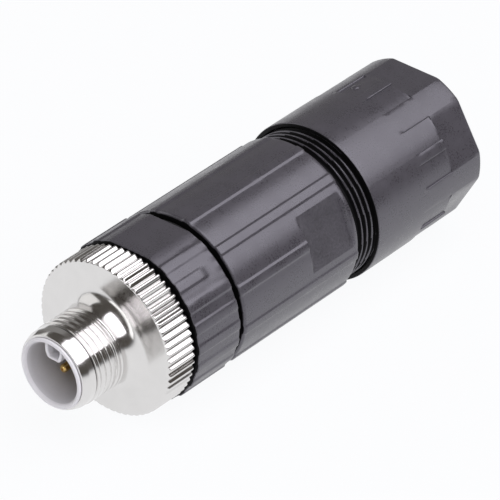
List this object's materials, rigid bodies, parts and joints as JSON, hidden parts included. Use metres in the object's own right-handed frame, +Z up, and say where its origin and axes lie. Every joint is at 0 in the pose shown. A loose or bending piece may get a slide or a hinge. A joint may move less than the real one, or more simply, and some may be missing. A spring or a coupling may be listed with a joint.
{
  "type": "m12 power connector plug",
  "caption": "Straight field-wireable M12 power plug with knurled coupling screw, ribbed sleeve and a cable gland with pressure nut.",
  "frame": {"origin": "on the supporting surface, under the middle of the plug as it lies on its side", "axes": "+Y along the plug axis from the mating face to the cable end, +Z up"},
  "size_m": [0.024, 0.0758, 0.024],
  "materials": {
    "nickel": "polished nickel plating on brass",
    "spring_steel": "bright",
    "black_plastic": "fine-grained satin",
    "grey_plastic": "satin",
    "natural_plastic": "satin",
    "gold_plate": "gold plated",
    "seal_rubber": "matt"
  },
  "bodies": {
    "sleeve_body": {"sleeve": "black_plastic", "cable_grommet": "seal_rubber", "clamping_cage": "natural_plastic"},
    "seal_body": {"housing_seal": "seal_rubber"},
    "insert_body": {"front_housing": "black_plastic", "retaining_ring": "spring_steel", "contact_carrier": "grey_plastic", "carrier_seal": "seal_rubber", "contact_pin_1": "gold_plate", "contact_pin_2": "gold_plate", "contact_pin_3": "gold_plate", "contact_pin_4": "gold_plate", "pe_contact": "gold_plate", "terminal_block": "grey_plastic"},
    "coupling_body": {"coupling_screw": "nickel"},
    "screw_1_body": {"terminal_screw_1": "spring_steel"},
    "screw_2_body": {"terminal_screw_2": "spring_steel"},
    "screw_3_body": {"terminal_screw_3": "spring_steel"},
    "screw_4_body": {"terminal_screw_4": "spring_steel"},
    "screw_5_body": {"terminal_screw_5": "spring_steel"},
    "thrust_body": {"thrust_ring": "natural_plastic"},
    "nut_body": {"pressure_nut": "black_plastic"}
  },
  "joints": [
    {"name": "insert_travel", "type": "slide", "parent": "sleeve_body", "child": "seal_body", "axis": [0, -1, 0], "range_m": [0, 0.004]},
    {"name": "insert_turn", "type": "hinge", "parent": "seal_body", "child": "insert_body", "pos_m": [0, -0.0105, 0.012], "axis": [0, -1, 0], "range_deg": [0, 1440]},
    {"name": "coupling_spin", "type": "hinge", "parent": "insert_body", "child": "coupling_body", "pos_m": [0, -0.0247, 0.012], "axis": [0, -1, 0], "continuous": true},
    {"name": "nut_travel", "type": "slide", "parent": "sleeve_body", "child": "thrust_body", "axis": [0, 1, 0], "range_m": [-0.0035, 0.007]},
    {"name": "nut_turn", "type": "hinge", "parent": "thrust_body", "child": "nut_body", "pos_m": [0, 0.0266, 0.012], "axis": [0, 1, 0], "range_deg": [-1260, 2520]},
    {"name": "screw_1_turn", "type": "hinge", "parent": "insert_body", "child": "screw_1_body", "pos_m": [0.00666, -0.0017, 0.01416], "axis": [0.9511, 0, 0.309], "range_deg": [0, 1080]},
    {"name": "screw_2_turn", "type": "hinge", "parent": "insert_body", "child": "screw_2_body", "pos_m": [0.00411, -0.0017, 0.00634], "axis": [0.5878, 0, -0.809], "range_deg": [0, 1080]},
    {"name": "screw_3_turn", "type": "hinge", "parent": "insert_body", "child": "screw_3_body", "pos_m": [-0.00411, -0.0017, 0.00634], "axis": [-0.5878, 0, -0.809], "range_deg": [0, 1080]},
    {"name": "screw_4_turn", "type": "hinge", "parent": "insert_body", "child": "screw_4_body", "pos_m": [-0.00666, -0.0017, 0.01416], "axis": [-0.9511, 0, 0.309], "range_deg": [0, 1080]},
    {"name": "screw_5_turn", "type": "hinge", "parent": "insert_body", "child": "screw_5_body", "pos_m": [0, -0.0017, 0.019], "axis": [0, 0, 1], "range_deg": [0, 1080]}
  ],
  "couplings": [
    {"joint": "insert_turn", "follows": "insert_travel", "rad_per_m": 6283.2},
    {"joint": "nut_travel", "follows": "nut_turn", "m_per_rad": 0.00015915}
  ]
}
